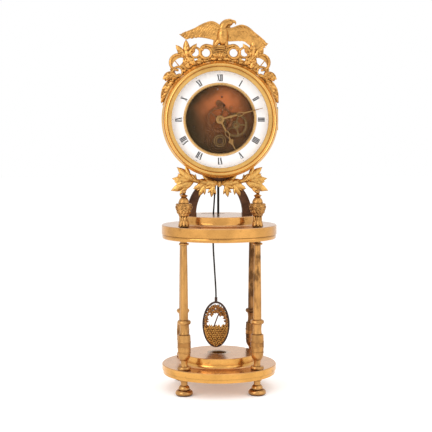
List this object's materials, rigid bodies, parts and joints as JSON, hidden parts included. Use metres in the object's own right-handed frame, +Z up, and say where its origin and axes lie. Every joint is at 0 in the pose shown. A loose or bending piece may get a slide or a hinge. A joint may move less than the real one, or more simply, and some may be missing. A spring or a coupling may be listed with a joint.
{
  "type": "column table clock",
  "caption": "Gilt column table clock: round base, turned columns, arch-borne dial drum with open centre, eagle crest and hanging pendulum; hands, train, winding and doors move.",
  "frame": {"origin": "on the ground under the middle of the round base", "axes": "+Z up, the dial faces -Y, +X to the right as seen from the front"},
  "size_m": [0.1374, 0.1364, 0.4367],
  "materials": {
    "gilt_brass": "worn fire gilding",
    "pale_brass": "polished",
    "dark_bronze": "dark brown patina",
    "enamel": "white enamel",
    "glass": "clear",
    "plate_brass": "tarnished, brushed",
    "wheel_brass": "tarnished",
    "steel": "dull",
    "dark_steel": "blackened"
  },
  "bodies": {
    "clock_frame": {"foot_front_left": "gilt_brass", "foot_front_right": "gilt_brass", "foot_back_left": "gilt_brass", "foot_back_right": "gilt_brass", "base_plate": "gilt_brass", "base_pedestal": "gilt_brass", "column_front_left": "gilt_brass", "column_front_right": "gilt_brass", "column_back_left": "gilt_brass", "column_back_right": "gilt_brass", "column_nuts": "gilt_brass", "upper_plate": "gilt_brass", "upper_pedestal": "gilt_brass", "urn_left": "gilt_brass", "urn_right": "gilt_brass", "urn_finial_left": "gilt_brass", "urn_finial_right": "gilt_brass", "drum_case": "gilt_brass", "dial_inner_ring": "gilt_brass", "laurel_spray": "gilt_brass", "crest": "gilt_brass", "eagle": "gilt_brass", "base_inlay": "pale_brass", "arch": "dark_bronze", "saddle": "dark_bronze", "stay_rod": "dark_bronze", "dial_ring": "enamel", "front_plate": "plate_brass", "back_plate": "plate_brass", "pillars": "plate_brass", "escape_cock": "plate_brass", "suspension_cock": "plate_brass", "bezel_hinge_pin": "steel", "rear_hinge_pin": "steel", "arch_screws": "steel", "movement_screws": "steel", "click_spring": "steel"},
    "bezel_frame": {"bezel": "gilt_brass", "glass": "glass"},
    "rear_door": {"rear_door": "gilt_brass", "door_knob": "gilt_brass"},
    "pendulum": {"suspension_spring": "steel", "pendulum_rod": "dark_steel", "bob_frame": "dark_bronze", "bob_basket": "gilt_brass"},
    "anchor": {"anchor": "steel"},
    "minute_group": {"cannon_pinion": "steel", "minute_hand": "gilt_brass", "hand_nut": "steel"},
    "hour_group": {"hour_wheel": "wheel_brass", "hour_hand": "gilt_brass"},
    "minute_wheel": {"minute_wheel": "wheel_brass"},
    "centre_wheel": {"centre_wheel": "wheel_brass"},
    "third_wheel": {"third_wheel": "wheel_brass"},
    "escape_wheel": {"escape_wheel": "wheel_brass"},
    "barrel": {"barrel": "wheel_brass"},
    "winding_arbor": {"barrel_arbor": "steel", "ratchet_wheel": "steel"},
    "click": {"click": "steel"}
  },
  "joints": [
    {"name": "pendulum_swing", "type": "hinge", "parent": "clock_frame", "child": "pendulum", "pos_m": [-0.0025, 0.018, 0.3555], "axis": [0, 1, 0], "range_deg": [-3, 3]},
    {"name": "anchor_rock", "type": "hinge", "parent": "clock_frame", "child": "anchor", "pos_m": [-0.0025, 0.0105, 0.3555], "axis": [0, 1, 0], "range_deg": [-3, 3]},
    {"name": "minute_hand_turn", "type": "hinge", "parent": "clock_frame", "child": "minute_group", "pos_m": [0, -0.0248, 0.32], "axis": [0, 1, 0], "continuous": true},
    {"name": "minute_wheel_turn", "type": "hinge", "parent": "clock_frame", "child": "minute_wheel", "pos_m": [0.01815, -0.0193, 0.31375], "axis": [0, 1, 0], "continuous": true},
    {"name": "hour_hand_turn", "type": "hinge", "parent": "clock_frame", "child": "hour_group", "pos_m": [0, -0.0232, 0.32], "axis": [0, 1, 0], "continuous": true},
    {"name": "third_wheel_turn", "type": "hinge", "parent": "clock_frame", "child": "third_wheel", "pos_m": [0.01344, -0.0074, 0.33392], "axis": [0, 1, 0], "continuous": true},
    {"name": "centre_wheel_turn", "type": "hinge", "parent": "clock_frame", "child": "centre_wheel", "pos_m": [0, 0.0042, 0.32], "axis": [0, 1, 0], "continuous": true},
    {"name": "barrel_turn", "type": "hinge", "parent": "clock_frame", "child": "barrel", "pos_m": [0, -0.012, 0.29525], "axis": [0, 1, 0], "continuous": true},
    {"name": "escape_wheel_turn", "type": "hinge", "parent": "clock_frame", "child": "escape_wheel", "pos_m": [-0.0025, -0.002, 0.3406], "axis": [0, 1, 0], "continuous": true},
    {"name": "winding_turn", "type": "hinge", "parent": "clock_frame", "child": "winding_arbor", "pos_m": [0, -0.0178, 0.29525], "axis": [0, 1, 0], "continuous": true},
    {"name": "click_lift", "type": "hinge", "parent": "clock_frame", "child": "click", "pos_m": [0.01386, -0.0178, 0.2933], "axis": [0, 1, 0], "range_deg": [0, 15]},
    {"name": "bezel_open", "type": "hinge", "parent": "clock_frame", "child": "bezel_frame", "pos_m": [0.066, -0.0175, 0.32], "axis": [0, 0, 1], "range_deg": [0, 110]},
    {"name": "rear_door_open", "type": "hinge", "parent": "clock_frame", "child": "rear_door", "pos_m": [0.061, 0.0273, 0.32], "axis": [0, 0, -1], "range_deg": [0, 110]}
  ],
  "couplings": [
    {"joint": "anchor_rock", "follows": "pendulum_swing", "ratio": 1},
    {"joint": "minute_wheel_turn", "follows": "minute_hand_turn", "ratio": -0.33333},
    {"joint": "hour_hand_turn", "follows": "minute_hand_turn", "ratio": 0.083333},
    {"joint": "centre_wheel_turn", "follows": "third_wheel_turn", "ratio": -0.097561},
    {"joint": "barrel_turn", "follows": "third_wheel_turn", "ratio": 0.015009},
    {"joint": "escape_wheel_turn", "follows": "third_wheel_turn", "ratio": -11}
  ]
}
